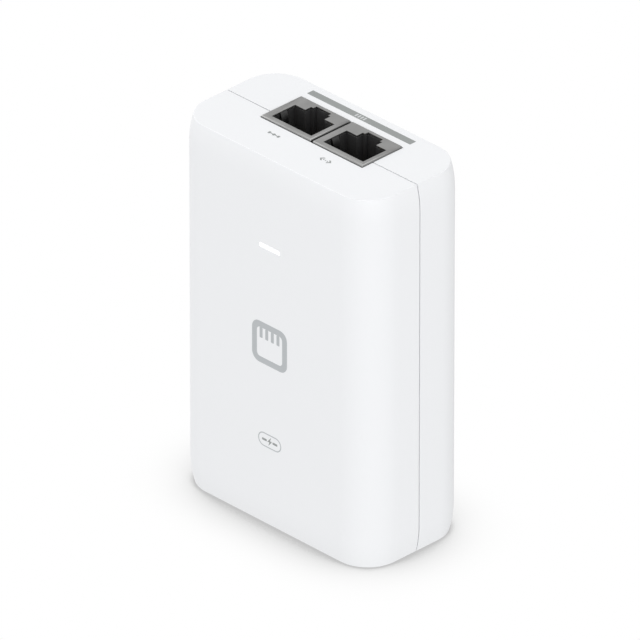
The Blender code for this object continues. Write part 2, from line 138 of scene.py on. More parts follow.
def makeStudio():
    world = bpy.data.worlds.new("studio")
    bpy.context.scene.world = world
    world.use_nodes = True
    tree = world.node_tree
    sky = tree.nodes["Background"]
    sky.inputs["Color"].default_value = (*studio["skyColour"], 1)
    way = tree.nodes.new("ShaderNodeTexCoord")
    split = tree.nodes.new("ShaderNodeSeparateXYZ")
    tree.links.new(way.outputs["Generated"], split.inputs[0])
    fade = tree.nodes.new("ShaderNodeMapRange")
    fade.interpolation_type = "SMOOTHSTEP"
    fade.inputs["From Min"].default_value = studio["backFade"][0]
    fade.inputs["From Max"].default_value = studio["backFade"][1]
    fade.inputs["To Min"].default_value = studio["skyStrength"]
    fade.inputs["To Max"].default_value = studio["skyStrength"] * studio["backShare"]
    tree.links.new(split.outputs["Y"], fade.inputs["Value"])
    tree.links.new(fade.outputs["Result"], sky.inputs["Strength"])
    for name, look in lamps.items():
        makeLamp(name, look)
    bpy.context.scene.view_settings.view_transform = "Standard"


makeCamera()
makeStudio()
print("camera and studio ready")


# shader node groups

def startGroup(name, inputs, outputs):
    # inputs: {socket name: start value}, outputs: {socket name: socket type}
    group = bpy.data.node_groups.new(name, "ShaderNodeTree")
    for socket, start in inputs.items():
        made = group.interface.new_socket(socket, in_out="INPUT", socket_type="NodeSocketFloat")
        made.default_value = start
    for socket, kind in outputs.items():
        group.interface.new_socket(socket, in_out="OUTPUT", socket_type=kind)
    enter = group.nodes.new("NodeGroupInput")
    leave = group.nodes.new("NodeGroupOutput")
    return group, enter, leave


def addNode(tree, kind, settings=None, values=None):
    node = tree.nodes.new(kind)
    for key, value in (settings or {}).items():
        setattr(node, key, value)
    for key, value in (values or {}).items():
        node.inputs[key].default_value = value
    return node


def wire(tree, source, target):
    tree.links.new(source, target)


def makeMouldedGrain():
    # spark-eroded mould texture: tiny pits over a slow drift in gloss
    group, enter, leave = startGroup(
        "mouldedGrain", {"Scale": 3000.0, "Drift Scale": 60.0},
        {"Height": "NodeSocketFloat", "Drift": "NodeSocketFloat"})
    place = addNode(group, "ShaderNodeTexCoord")
    pits = addNode(group, "ShaderNodeTexNoise", None, {"Detail": 3.0, "Roughness": 0.6})
    slow = addNode(group, "ShaderNodeTexNoise", None, {"Detail": 2.0, "Roughness": 0.5})
    for texture, scale in ((pits, "Scale"), (slow, "Drift Scale")):
        wire(group, place.outputs["Object"], texture.inputs["Vector"])
        wire(group, enter.outputs[scale], texture.inputs["Scale"])
    wire(group, pits.outputs["Fac"], leave.inputs["Height"])
    wire(group, slow.outputs["Fac"], leave.inputs["Drift"])
    return group


def makeRolledGrain():
    # fine lines of rolled or drawn metal, stretched along one axis
    group, enter, leave = startGroup(
        "rolledGrain", {"Scale": 900.0, "Stretch": 0.06},
        {"Height": "NodeSocketFloat", "Blotch": "NodeSocketFloat"})
    place = addNode(group, "ShaderNodeTexCoord")
    stretch = addNode(group, "ShaderNodeCombineXYZ", None, {"Y": 1.0, "Z": 1.0})
    wire(group, enter.outputs["Stretch"], stretch.inputs["X"])
    warp = addNode(group, "ShaderNodeVectorMath", {"operation": "MULTIPLY"})
    wire(group, place.outputs["Object"], warp.inputs[0])
    wire(group, stretch.outputs[0], warp.inputs[1])
    lines = addNode(group, "ShaderNodeTexNoise", None, {"Detail": 4.0, "Roughness": 0.6})
    wire(group, warp.outputs[0], lines.inputs["Vector"])
    wire(group, enter.outputs["Scale"], lines.inputs["Scale"])
    blotch = addNode(group, "ShaderNodeTexNoise", None, {"Scale": 350.0, "Detail": 3.0})
    wire(group, place.outputs["Object"], blotch.inputs["Vector"])
    wire(group, lines.outputs["Fac"], leave.inputs["Height"])
    wire(group, blotch.outputs["Fac"], leave.inputs["Blotch"])
    return group


def makeEdgeWear():
    # mask of the outer edges, broken up so that the rub isn't even
    group, enter, leave = startGroup(
        "edgeWear", {"Sharpness": 0.53, "Breakup Scale": 700.0}, {"Mask": "NodeSocketFloat"})
    shape = addNode(group, "ShaderNodeNewGeometry")
    edge = addNode(group, "ShaderNodeMapRange", {"clamp": True}, {"From Max": 0.62})
    wire(group, shape.outputs["Pointiness"], edge.inputs["Value"])
    wire(group, enter.outputs["Sharpness"], edge.inputs["From Min"])
    place = addNode(group, "ShaderNodeTexCoord")
    breakup = addNode(group, "ShaderNodeTexNoise", None, {"Detail": 3.0})
    wire(group, place.outputs["Object"], breakup.inputs["Vector"])
    wire(group, enter.outputs["Breakup Scale"], breakup.inputs["Scale"])
    mask = addNode(group, "ShaderNodeMath", {"operation": "MULTIPLY", "use_clamp": True})
    wire(group, edge.outputs["Result"], mask.inputs[0])
    wire(group, breakup.outputs["Fac"], mask.inputs[1])
    wire(group, mask.outputs[0], leave.inputs["Mask"])
    return group


def makePaintedCreviceShade():
    # painted shade: 1 in the open, lower in the narrow places where shade falls, and the colour is darkened
    # there as if in shadow
    group, enter, leave = startGroup(
        "paintedCreviceShade", {"Reach": 1.0 * mm, "Ease": 1.5}, {"Open": "NodeSocketFloat"})
    near = addNode(group, "ShaderNodeAmbientOcclusion", {"samples": 8})
    wire(group, enter.outputs["Reach"], near.inputs["Distance"])
    ease = addNode(group, "ShaderNodeMath", {"operation": "POWER", "use_clamp": True})
    wire(group, near.outputs["AO"], ease.inputs[0])
    wire(group, enter.outputs["Ease"], ease.inputs[1])
    wire(group, ease.outputs[0], leave.inputs["Open"])
    return group


def makeWrapLines():
    # level bands across Z: turns of wire, or the edges of wound tape
    group, enter, leave = startGroup(
        "wrapLines", {"Period": 0.5 * mm, "Ragged": 0.4}, {"Height": "NodeSocketFloat"})
    place = addNode(group, "ShaderNodeTexCoord")
    scale = addNode(group, "ShaderNodeMath", {"operation": "DIVIDE"}, {0: math.pi / 10})
    bands = addNode(group, "ShaderNodeTexWave", {"bands_direction": "Z"},
                    {"Detail": 1.0, "Detail Scale": 2.0})
    wire(group, enter.outputs["Period"], scale.inputs[1])
    wire(group, scale.outputs[0], bands.inputs["Scale"])
    wire(group, enter.outputs["Ragged"], bands.inputs["Distortion"])
    wire(group, place.outputs["Object"], bands.inputs["Vector"])
    wire(group, bands.outputs["Fac"], leave.inputs["Height"])
    return group


def makeTraces():
    # copper tracks that show through the solder mask, as staggered runs across the board's face
    group, enter, leave = startGroup("traces", {"Scale": 170.0}, {"Mask": "NodeSocketFloat"})
    place = addNode(group, "ShaderNodeTexCoord")
    split = addNode(group, "ShaderNodeSeparateXYZ")
    flat = addNode(group, "ShaderNodeCombineXYZ")
    wire(group, place.outputs["Object"], split.inputs[0])
    wire(group, split.outputs["X"], flat.inputs["X"])
    wire(group, split.outputs["Z"], flat.inputs["Y"])
    runs = addNode(group, "ShaderNodeTexBrick", {"offset": 0.37, "squash": 1.6, "squash_frequency": 3},
                   {"Mortar Size": 0.022, "Mortar Smooth": 0.4, "Brick Width": 1.9, "Row Height": 0.16})
    wire(group, flat.outputs[0], runs.inputs["Vector"])
    wire(group, enter.outputs["Scale"], runs.inputs["Scale"])
    wire(group, runs.outputs["Fac"], leave.inputs["Mask"])
    return group


def makePolarityBand():
    # 1 on the strip of sleeve that faces +X, as on the marked side of a capacitor can
    group, enter, leave = startGroup("polarityBand", {"From": 0.945}, {"Mask": "NodeSocketFloat"})
    place = addNode(group, "ShaderNodeTexCoord")
    split = addNode(group, "ShaderNodeSeparateXYZ")
    over = addNode(group, "ShaderNodeMath", {"operation": "GREATER_THAN"})
    wire(group, place.outputs["Generated"], split.inputs[0])
    wire(group, split.outputs["X"], over.inputs[0])
    wire(group, enter.outputs["From"], over.inputs[1])
    wire(group, over.outputs[0], leave.inputs["Mask"])
    return group


groups = {"moulded": makeMouldedGrain(), "rolled": makeRolledGrain(), "wear": makeEdgeWear(),
          "paintedCreviceShade": makePaintedCreviceShade(), "wrap": makeWrapLines(), "traces": makeTraces(),
          "band": makePolarityBand()}
print("node groups ready")


# materials

finishes = {
    "whiteHousing": {
        "slot": "white_housing", "grain": "moulded", "scale": 3200.0, "metallic": 0.0,
        "colour": (0.787, 0.796, 0.811), "second": (0.797, 0.806, 0.821),
        "rough": (0.40, 0.47), "bump": 0.06, "wear": 0.0, "specular": 0.4,
    },
    "lightGuide": {
        "slot": "light_guide", "grain": "moulded", "scale": 1500.0, "metallic": 0.0,
        "colour": (0.93, 0.94, 0.95), "second": (0.96, 0.97, 0.98),
        "rough": (0.22, 0.30), "bump": 0.02, "wear": 0.0, "glow": 0.22,
    },
    "tinnedSteel": {
        "slot": "tinned_steel", "grain": "rolled", "scale": 1400.0, "metallic": 1.0,
        "colour": (0.37, 0.37, 0.365), "second": (0.43, 0.43, 0.425),
        # the dark colour at the end of the next line is painted shade for the steel's narrow places
        "rough": (0.36, 0.46), "bump": 0.05, "wear": 0.0, "creviceShadeColour": (0.15, 0.15, 0.15),
    },
    # painted shade: a darker copy of the tinned steel, for strips inside a jack's mouth
    "paintedShadeSteel": {
        "slot": "tinned_steel", "grain": "rolled", "scale": 1400.0, "metallic": 1.0,
        "colour": (0.12, 0.12, 0.12), "second": (0.16, 0.16, 0.16),
        "rough": (0.40, 0.52), "bump": 0.05, "wear": 0.0,
    },
    "blackMoulding": {
        "slot": "black_moulding", "grain": "moulded", "scale": 2600.0, "metallic": 0.0,
        "colour": (0.020, 0.020, 0.021), "second": (0.027, 0.027, 0.028),
        "rough": (0.42, 0.55), "bump": 0.10, "wear": 0.25, "wearColour": (0.06, 0.06, 0.06),
    },
    "goldPlate": {
        "slot": "gold_contact", "grain": "rolled", "scale": 1800.0, "metallic": 1.0,
        "colour": (0.83, 0.60, 0.24), "second": (0.90, 0.68, 0.30),
        "rough": (0.18, 0.30), "bump": 0.03, "wear": 0.2, "wearColour": (0.93, 0.78, 0.45),
    },
    "nickelPlate": {
        "slot": "nickel", "grain": "rolled", "scale": 1500.0, "metallic": 1.0,
        "colour": (0.60, 0.58, 0.54), "second": (0.68, 0.66, 0.62),
        "rough": (0.22, 0.34), "bump": 0.03, "wear": 0.2, "wearColour": (0.78, 0.76, 0.72),
    },
    "boardMask": {
        "slot": "board", "grain": "moulded", "scale": 900.0, "metallic": 0.0,
        "colour": (0.020, 0.14, 0.055), "second": (0.035, 0.19, 0.080),
        "rough": (0.28, 0.40), "bump": 0.05, "wear": 0.2, "wearColour": (0.45, 0.42, 0.22),
        "over": ("traces", (0.040, 0.21, 0.092)),
    },
    "ferrite": {
        "slot": "ferrite", "grain": "moulded", "scale": 1800.0, "metallic": 0.0,
        "colour": (0.045, 0.045, 0.050), "second": (0.080, 0.080, 0.085),
        "rough": (0.50, 0.68), "bump": 0.20, "wear": 0.3, "wearColour": (0.18, 0.18, 0.19),
    },
    "yellowTape": {
        "slot": "yellow_tape", "grain": "rolled", "scale": 500.0, "metallic": 0.0,
        "colour": (0.80, 0.55, 0.05), "second": (0.90, 0.66, 0.10),
        "rough": (0.30, 0.45), "bump": 0.08, "wear": 0.0, "wrap": (2.7 * mm, 0.25, 0.10),
    },
    "copperWire": {
        "slot": "copper", "grain": "rolled", "scale": 1200.0, "metallic": 1.0,
        "colour": (0.66, 0.26, 0.10), "second": (0.78, 0.36, 0.16),
        "rough": (0.22, 0.36), "bump": 0.15, "wear": 0.0, "wrap": (0.55 * mm, 0.10, 0.75),
    },
    "canSleeve": {
        "slot": "can_sleeve", "grain": "moulded", "scale": 1200.0, "metallic": 0.0,
        "colour": (0.020, 0.030, 0.065), "second": (0.030, 0.042, 0.090),
        "rough": (0.30, 0.42), "bump": 0.04, "wear": 0.0, "over": ("band", (0.52, 0.56, 0.62)),
    },
    "milledAluminium": {
        "slot": "heatsink", "grain": "rolled", "scale": 900.0, "metallic": 1.0,
        "colour": (0.68, 0.69, 0.70), "second": (0.78, 0.79, 0.80),
        "rough": (0.28, 0.40), "bump": 0.08, "wear": 0.3, "wearColour": (0.88, 0.88, 0.89),
    },
    "blueCeramic": {
        "slot": "blue_ceramic", "grain": "moulded", "scale": 1400.0, "metallic": 0.0,
        "colour": (0.03, 0.14, 0.42), "second": (0.05, 0.20, 0.52),
        "rough": (0.35, 0.50), "bump": 0.15, "wear": 0.0,
    },
    "greyBox": {
        "slot": "grey_box", "grain": "moulded", "scale": 1500.0, "metallic": 0.0,
        "colour": (0.30, 0.31, 0.32), "second": (0.36, 0.37, 0.38),
        "rough": (0.40, 0.52), "bump": 0.06, "wear": 0.2, "wearColour": (0.5, 0.5, 0.5),
    },
    "fuseTube": {
        "slot": "fuse_tube", "grain": "moulded", "scale": 1100.0, "metallic": 0.0,
        "colour": (0.70, 0.69, 0.64), "second": (0.78, 0.77, 0.72),
        "rough": (0.24, 0.34), "bump": 0.04, "wear": 0.0,
    },
    "plainFilm": {
        "slot": "film", "grain": "moulded", "scale": 1600.0, "metallic": 0.0,
        "colour": (0.66, 0.67, 0.68), "second": (0.70, 0.71, 0.72),
        "rough": (0.36, 0.46), "bump": 0.04, "wear": 0.0,
    },
    "lampPackage": {
        "slot": "led", "grain": "moulded", "scale": 1500.0, "metallic": 0.0,
        "colour": (0.86, 0.84, 0.66), "second": (0.92, 0.90, 0.74),
        "rough": (0.30, 0.40), "bump": 0.03, "wear": 0.0,
    },
    "darkGreyInk": {
        "slot": "film", "grain": "moulded", "scale": 5200.0, "metallic": 0.0,
        "colour": (0.265, 0.280, 0.275), "second": (0.285, 0.300, 0.295),
        "rough": (0.40, 0.50), "bump": 0.03, "wear": 0.0,
    },
    "midGreyInk": {
        "slot": "film", "grain": "moulded", "scale": 5200.0, "metallic": 0.0,
        "colour": (0.42, 0.44, 0.455), "second": (0.44, 0.46, 0.475),
        "rough": (0.32, 0.42), "bump": 0.03, "wear": 0.0,
    },
    "lightGreyInk": {
        "slot": "film", "grain": "moulded", "scale": 5200.0, "metallic": 0.0,
        "colour": (0.56, 0.57, 0.58), "second": (0.59, 0.60, 0.61),
        "rough": (0.40, 0.50), "bump": 0.03, "wear": 0.0,
    },
}


surface = {
    "bumpDepth": 0.05 * mm,      # height of the grain
    "driftRange": (0.3, 0.7),    # part of the drift that moves the roughness
    "wearGain": 2,
}


def mixColour(tree, fac, first, second):
    mix = addNode(tree, "ShaderNodeMix", {"data_type": "RGBA"})
    wire(tree, fac, mix.inputs["Factor"])
    for value, socket in ((first, "A"), (second, "B")):
        target = next(s for s in mix.inputs if s.name == socket and s.type == "RGBA")
        if isinstance(value, tuple):
            target.default_value = (*value, 1)
        else:
            wire(tree, value, target)
    return next(s for s in mix.outputs if s.type == "RGBA")


def makeMaterial(name):
    look = finishes[name]
    made = bpy.data.materials.new(name)
    made.use_nodes = True
    tree = made.node_tree
    shader = tree.nodes["Principled BSDF"]
    shader.inputs["Metallic"].default_value = look["metallic"]
    shader.inputs["Specular IOR Level"].default_value = look.get("specular", 0.5)
    grain = addNode(tree, "ShaderNodeGroup", {"node_tree": groups[look["grain"]]})
    grain.inputs["Scale"].default_value = look["scale"]
    drift = grain.outputs["Drift" if look["grain"] == "moulded" else "Blotch"]
    colour = mixColour(tree, drift, look["colour"], look["second"])
    if look["wear"]:
        rub = addNode(tree, "ShaderNodeGroup", {"node_tree": groups["wear"]})
        share = addNode(tree, "ShaderNodeMath", {"operation": "MULTIPLY"},
                        {1: look["wear"] * surface["wearGain"]})
        wire(tree, rub.outputs["Mask"], share.inputs[0])
        colour = mixColour(tree, share.outputs[0], colour, look["wearColour"])
    if "over" in look:
        kind, overColour = look["over"]
        overlay = addNode(tree, "ShaderNodeGroup", {"node_tree": groups[kind]})
        colour = mixColour(tree, overlay.outputs["Mask"], colour, overColour)
    # painted shade: the colour is darkened in narrow places, where shade falls
    if "creviceShadeColour" in look:
        paintedCreviceShade = addNode(tree, "ShaderNodeGroup", {"node_tree": groups["paintedCreviceShade"]})
        colour = mixColour(tree, paintedCreviceShade.outputs["Open"], look["creviceShadeColour"], colour)
    wire(tree, colour, shader.inputs["Base Color"])
    low, high = look["rough"]
    calm, lively = surface["driftRange"]
    gloss = addNode(tree, "ShaderNodeMapRange", None,
                    {"From Min": calm, "From Max": lively, "To Min": low, "To Max": high})
    wire(tree, drift, gloss.inputs["Value"])
    wire(tree, gloss.outputs["Result"], shader.inputs["Roughness"])
    bump = addNode(tree, "ShaderNodeBump", None,
                   {"Strength": look["bump"], "Distance": surface["bumpDepth"]})
    wire(tree, grain.outputs["Height"], bump.inputs["Height"])
    normal = bump.outputs["Normal"]
    if "wrap" in look:
        period, ragged, depth = look["wrap"]
        wrap = addNode(tree, "ShaderNodeGroup", {"node_tree": groups["wrap"]},
                       {"Period": period, "Ragged": ragged})
        turns = addNode(tree, "ShaderNodeBump", None, {"Strength": depth, "Distance": period / 4})
        wire(tree, wrap.outputs["Height"], turns.inputs["Height"])
        wire(tree, normal, turns.inputs["Normal"])
        normal = turns.outputs["Normal"]
    wire(tree, normal, shader.inputs["Normal"])
    if "glow" in look:
        shader.inputs["Emission Color"].default_value = (1, 1, 1, 1)
        shader.inputs["Emission Strength"].default_value = look["glow"]
    return made


materials = {name: makeMaterial(name) for name in finishes}
print("materials ready:", len(materials))


def paint(piece, finish):
    piece.data.materials.clear()
    piece.data.materials.append(materials[finish])


# floor

def floorMaterial():
    # white sweep: it lights the object like the sky does, and is seen white with a soft contact shade
    made = bpy.data.materials.new("floor")
    made.use_nodes = True
    tree = made.node_tree
    tree.nodes.remove(tree.nodes["Principled BSDF"])
    near = addNode(tree, "ShaderNodeAmbientOcclusion", {"samples": 16}, {"Distance": studio["floorReach"]})
    # a wall hides half of the view at most, so closed is 0 in the open and 1 against the wall
    closed = addNode(tree, "ShaderNodeMath", {"operation": "MULTIPLY_ADD", "use_clamp": True},
                     {1: -2.0, 2: 2.0})
    wire(tree, near.outputs["AO"], closed.inputs[0])
    shade = None
    for depth, falloff in studio["floorShades"]:
        eased = addNode(tree, "ShaderNodeMath", {"operation": "POWER"}, {1: falloff})
        darker = addNode(tree, "ShaderNodeMath", {"operation": "MULTIPLY_ADD"}, {1: -depth, 2: 1.0})
        wire(tree, closed.outputs[0], eased.inputs[0])
        wire(tree, eased.outputs[0], darker.inputs[0])
        if shade:
            wire(tree, shade.outputs[0], darker.inputs[2])
        shade = darker
    ray = addNode(tree, "ShaderNodeLightPath")
    seen = addNode(tree, "ShaderNodeMix", {"data_type": "FLOAT"})
    wire(tree, ray.outputs["Is Camera Ray"], seen.inputs[0])
    seen.inputs[2].default_value = studio["skyStrength"]
    wire(tree, shade.outputs[0], seen.inputs[3])
    glow = addNode(tree, "ShaderNodeEmission")
    glow.inputs["Color"].default_value = (*studio["skyColour"], 1)
    wire(tree, seen.outputs[0], glow.inputs["Strength"])
    wire(tree, glow.outputs[0], tree.nodes["Material Output"].inputs["Surface"])
    return made


def makeFloor():
    bm = bmesh.new()
    bmesh.ops.create_grid(bm, x_segments=1, y_segments=1, size=studio["floorSize"] / 2)
    mesh = bpy.data.meshes.new("floor")
    bm.to_mesh(mesh)
    bm.free()
    floor = bpy.data.objects.new("floor", mesh)
    floor.location.z = shellLow.z - studio["floorDrop"]
    bpy.context.scene.collection.objects.link(floor)
    mesh.materials.append(floorMaterial())


makeFloor()


# carried-over CAD nodes and their refined copies

nodeFinish = {
    "front_shell": "whiteHousing", "rear_shell": "whiteHousing", "rating_label": "plainFilm",
    "light_pipe": "lightGuide", "status_led": "lampPackage",
    "data_port_shield": "tinnedSteel", "power_port_shield": "tinnedSteel",
    "data_port_body": "blackMoulding", "power_port_body": "blackMoulding",
    "data_port_contacts": "goldPlate", "power_port_contacts": "goldPlate",
    "inlet_body": "blackMoulding", "inlet_line_pin": "nickelPlate",
    "inlet_neutral_pin": "nickelPlate", "inlet_earth_pin": "nickelPlate",
    "main_board": "boardMask", "insulation_sheet": "plainFilm",
    "board_screw_1": "nickelPlate", "board_screw_2": "nickelPlate",
    "line_fuse": "fuseTube", "surge_varistor": "blueCeramic", "x_capacitor": "greyBox",
    "choke_core": "ferrite", "choke_winding_1": "copperWire", "choke_winding_2": "copperWire",
    "bridge_rectifier": "blackMoulding", "bulk_capacitor": "canSleeve",
    "transformer_core": "ferrite", "transformer_winding": "yellowTape",
    "switching_transistor": "blackMoulding", "primary_heatsink": "milledAluminium",
    "output_diode": "blackMoulding", "secondary_heatsink": "milledAluminium",
    "y_capacitor": "blueCeramic", "optocoupler": "blackMoulding",
    "output_capacitor_1": "canSleeve", "output_capacitor_2": "canSleeve",
    "output_inductor": "ferrite", "lan_transformer_1": "blackMoulding",
    "lan_transformer_2": "blackMoulding", "power_controller": "blackMoulding",
    "feed_controller": "blackMoulding",
}

edgeRounds = {  # radius of the small round put on a node's sharp edges
    "front_shell": 0.16 * mm, "rear_shell": 0.16 * mm,
    "data_port_shield": 0.05 * mm, "power_port_shield": 0.05 * mm,
    "data_port_body": 0.10 * mm, "power_port_body": 0.10 * mm,
    "data_port_contacts": 0.05 * mm, "power_port_contacts": 0.05 * mm,
    "inlet_body": 0.20 * mm, "light_pipe": 0.08 * mm, "rating_label": 0.05 * mm,
    "inlet_line_pin": 0.30 * mm, "inlet_neutral_pin": 0.30 * mm, "inlet_earth_pin": 0.30 * mm,
    "status_led": 0.08 * mm, "main_board": 0.08 * mm,
    "board_screw_1": 0.20 * mm, "board_screw_2": 0.20 * mm,
    "line_fuse": 0.45 * mm, "surge_varistor": 1.10 * mm, "y_capacitor": 1.10 * mm,
    "x_capacitor": 0.50 * mm, "choke_core": 0.45 * mm,
    "bridge_rectifier": 0.35 * mm, "bulk_capacitor": 0.90 * mm, "transformer_core": 0.40 * mm,
    "transformer_winding": 0.80 * mm, "switching_transistor": 0.25 * mm, "output_diode": 0.25 * mm,
    "primary_heatsink": 0.12 * mm, "secondary_heatsink": 0.12 * mm, "optocoupler": 0.20 * mm,
    "output_capacitor_1": 0.70 * mm, "output_capacitor_2": 0.70 * mm, "output_inductor": 0.40 * mm,
    "lan_transformer_1": 0.25 * mm, "lan_transformer_2": 0.25 * mm,
    "power_controller": 0.12 * mm, "feed_controller": 0.10 * mm,
}


fine = {
    "merge": 0.001 * mm,      # points closer than this are one
    "flatAngle": 1.0,         # degrees: facets that differ by less become one face
    "sharpAngle": 32.0,       # degrees: edges sharper than this are rounded
    "roundSteps": 3,
    "shadeDepth": 0.45 * mm,  # how far inside a shield its strips with painted shade begin
    "endFacing": 0.95,        # how squarely a face looks along a can's axis to be its end
}


def shadeInside(piece, depth):
    # painted shade: the strips inside a jack's mouth, below its top sheet, get a darker copy of the steel,
    # as if in shadow
    piece.data.materials.append(materials["paintedShadeSteel"])
    top = max(v.co.z for v in piece.data.vertices)
    low = [min(v.co[axis] for v in piece.data.vertices) for axis in (0, 1)]
    high = [max(v.co[axis] for v in piece.data.vertices) for axis in (0, 1)]
    for face in piece.data.polygons:
        inside = all(low[axis] + depth < face.center[axis] < high[axis] - depth for axis in (0, 1))
        if inside and face.center.z < top - depth:
            face.material_index = 1


canEnds = (  # the end of each can that its sleeve leaves bare: axis and side
    ("bulk_capacitor", 2, 1), ("output_capacitor_1", 1, -1), ("output_capacitor_2", 1, -1),
)


def bareEnd(piece, axis, side):
    piece.data.materials.append(materials["milledAluminium"])
    for face in piece.data.polygons:
        if face.normal[axis] * side > fine["endFacing"]:
            face.material_index = 1


def refine(name, radius):
    # a copy of the CAD node with its facets merged, its edges rounded and its curves shaded smooth
    piece = bpy.data.objects.new(name + "_fine", nodes[name].data.copy())
    bpy.context.scene.collection.objects.link(piece)
    bm = bmesh.new()
    bm.from_mesh(piece.data)
    bmesh.ops.remove_doubles(bm, verts=bm.verts, dist=fine["merge"])
    flat = math.radians(fine["flatAngle"])
    bmesh.ops.dissolve_limit(bm, angle_limit=flat, verts=bm.verts, edges=bm.edges)
    bm.to_mesh(piece.data)
    bm.free()
    piece.data.shade_smooth()
    piece.data.set_sharp_from_angle(angle=math.radians(fine["sharpAngle"]))
    rounding = piece.modifiers.new("edges", "BEVEL")
    rounding.width = radius
    rounding.segments = fine["roundSteps"]
    rounding.limit_method = "ANGLE"
    rounding.angle_limit = math.radians(fine["sharpAngle"])
    rounding.harden_normals = True
    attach(piece, nodes[name]["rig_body"])
    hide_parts(name)
    paint(piece, nodeFinish[name])


winding = {"wire": 0.6 * mm, "pitch": 0.62 * mm, "around": 28, "inset": 0.05 * mm}


def makeWinding(name):
    # the choke's winding as one wire, wound as a helix inside the CAD winding's own outline
    low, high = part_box(name)
    radius = (high.x - low.x) / 2 - winding["wire"] / 2 - winding["inset"]
    turns = int((high.z - low.z - winding["wire"] - 2 * winding["inset"]) / winding["pitch"])
    middle = (low + high) / 2
    curve = bpy.data.curves.new(name + "_wire", "CURVE")
    curve.dimensions = "3D"
    curve.bevel_depth = winding["wire"] / 2
    curve.bevel_resolution = 2
    curve.use_fill_caps = True
    spline = curve.splines.new("POLY")
    steps = turns * winding["around"]
    spline.points.add(steps)
    for number, point in enumerate(spline.points):
        angle = 2 * math.pi * number / winding["around"]
        rise = (number / steps - 0.5) * turns * winding["pitch"]
        x = middle.x + radius * math.cos(angle)
        y = middle.y + radius * math.sin(angle)
        point.co = (x, y, middle.z + rise, 1)
    path = bpy.data.objects.new(name + "_path", curve)
    mesh = bpy.data.meshes.new_from_object(path)
    bpy.data.objects.remove(path)
    coil = bpy.data.objects.new(name + "_wire", mesh)
    mesh.shade_smooth()
    bpy.context.scene.collection.objects.link(coil)
    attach(coil, nodes[name]["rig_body"])
    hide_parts(name)
    paint(coil, "copperWire")


for nodeName, finish in nodeFinish.items():
    if finish == "copperWire":
        makeWinding(nodeName)
    elif nodeName in edgeRounds:
        refine(nodeName, edgeRounds[nodeName])
    else:
        paint(nodes[nodeName], finish)
for name in ("data_port_shield_fine", "power_port_shield_fine"):
    shadeInside(bpy.data.objects[name], fine["shadeDepth"])
for name, axis, side in canEnds:
    bareEnd(bpy.data.objects[name + "_fine"], axis, side)
print("CAD nodes dressed")


# solder on the board's back, where the leads come through

solder = {"radius": 0.85 * mm, "height": 0.75 * mm, "sides": 12, "tip": 0.3, "inset": 0.22,
          "boardEdge": 1.5 * mm}

leads = {  # how many leads each part puts through the board, across X and up Z
    "bridge_rectifier": (4, 1), "bulk_capacitor": (2, 1), "transformer_winding": (4, 2),
    "switching_transistor": (3, 1), "output_diode": (3, 1),
    "x_capacitor": (1, 2), "y_capacitor": (1, 2), "line_fuse": (1, 2), "surge_varistor": (1, 2),
    "choke_winding_1": (1, 2), "choke_winding_2": (1, 2),
    "output_capacitor_1": (2, 1), "output_capacitor_2": (2, 1), "optocoupler": (2, 2),
    "data_port_shield": (5, 2), "power_port_shield": (5, 2),
}


def spread(low, high, count):
    # count places between low and high, kept in from the ends; one place is the middle
    inset = (high - low) * solder["inset"]
    step = (high - low - 2 * inset) / max(count - 1, 1)
    return [(low + high) / 2] if count == 1 else [low + inset + step * n for n in range(count)]


def makeSolder():
    boardLow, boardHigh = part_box("main_board")
    bm = bmesh.new()
    for name, (across, up) in leads.items():
        low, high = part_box(name)
        top = min(high.z, boardHigh.z - solder["boardEdge"])
        for x in spread(low.x, high.x, across):
            for z in spread(low.z, top, up):
                place = Matrix.Translation((x, boardHigh.y + solder["height"] / 2, z))
                bmesh.ops.create_cone(bm, cap_ends=True, segments=solder["sides"], radius1=solder["radius"],
                                      radius2=solder["radius"] * solder["tip"], depth=solder["height"],
                                      matrix=place @ Matrix.Rotation(-math.pi / 2, 4, "X"))
    mesh = bpy.data.meshes.new("board_solder")
    bm.to_mesh(mesh)
    bm.free()
    mesh.shade_smooth()
    joints = bpy.data.objects.new("board_solder", mesh)
    bpy.context.scene.collection.objects.link(joints)
    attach(joints, nodes["main_board"]["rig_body"])
    paint(joints, "nickelPlate")


makeSolder()
print("solder ready")


# printed marks: thin films of ink just above the moulded faces

ink = {
    "lift": 0.012 * mm,
    "thick": 0.010 * mm,
    "bodyName": "housing",
}


def roundedRect(width, height, radius, steps=8):
    # closed outline, anticlockwise, centred on the origin
    points = []
    for cornerX, cornerY, start in ((1, 1, 0), (-1, 1, 90), (-1, -1, 180), (1, -1, 270)):
        for step in range(steps + 1):
            angle = math.radians(start + 90 * step / steps)
            points.append((cornerX * (width / 2 - radius) + radius * math.cos(angle),
                           cornerY * (height / 2 - radius) + radius * math.sin(angle)))
    return points


def inkFilm(name, outlines, finish, place, face):
    # outlines are closed loops in the face's own plane; an inner loop cuts a hole
    curve = bpy.data.curves.new(name, "CURVE")
    curve.dimensions = "2D"
    curve.fill_mode = "BOTH"
    curve.extrude = ink["thick"] / 2
    for outline in outlines:
        spline = curve.splines.new("POLY")
        spline.points.add(len(outline) - 1)
        spline.use_cyclic_u = True
        for point, (u, v) in zip(spline.points, outline):
            point.co = (u, v, 0, 1)
    film = bpy.data.objects.new(name, curve)
    film.location = place
    if face == "front":
        film.rotation_euler.x = math.pi / 2
    bpy.context.scene.collection.objects.link(film)
    paint(film, finish)
    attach(film, ink["bodyName"])


def shifted(outline, du, dv):
    return [(u + du, v + dv) for u, v in outline]


frontMark = {"width": 10.9 * mm, "height": 10.4 * mm, "z": 46.3 * mm, "wall": 1.5 * mm,
             "round": 2.2 * mm, "bars": 4, "barWidth": 0.9 * mm, "barHeight": 2.6 * mm}


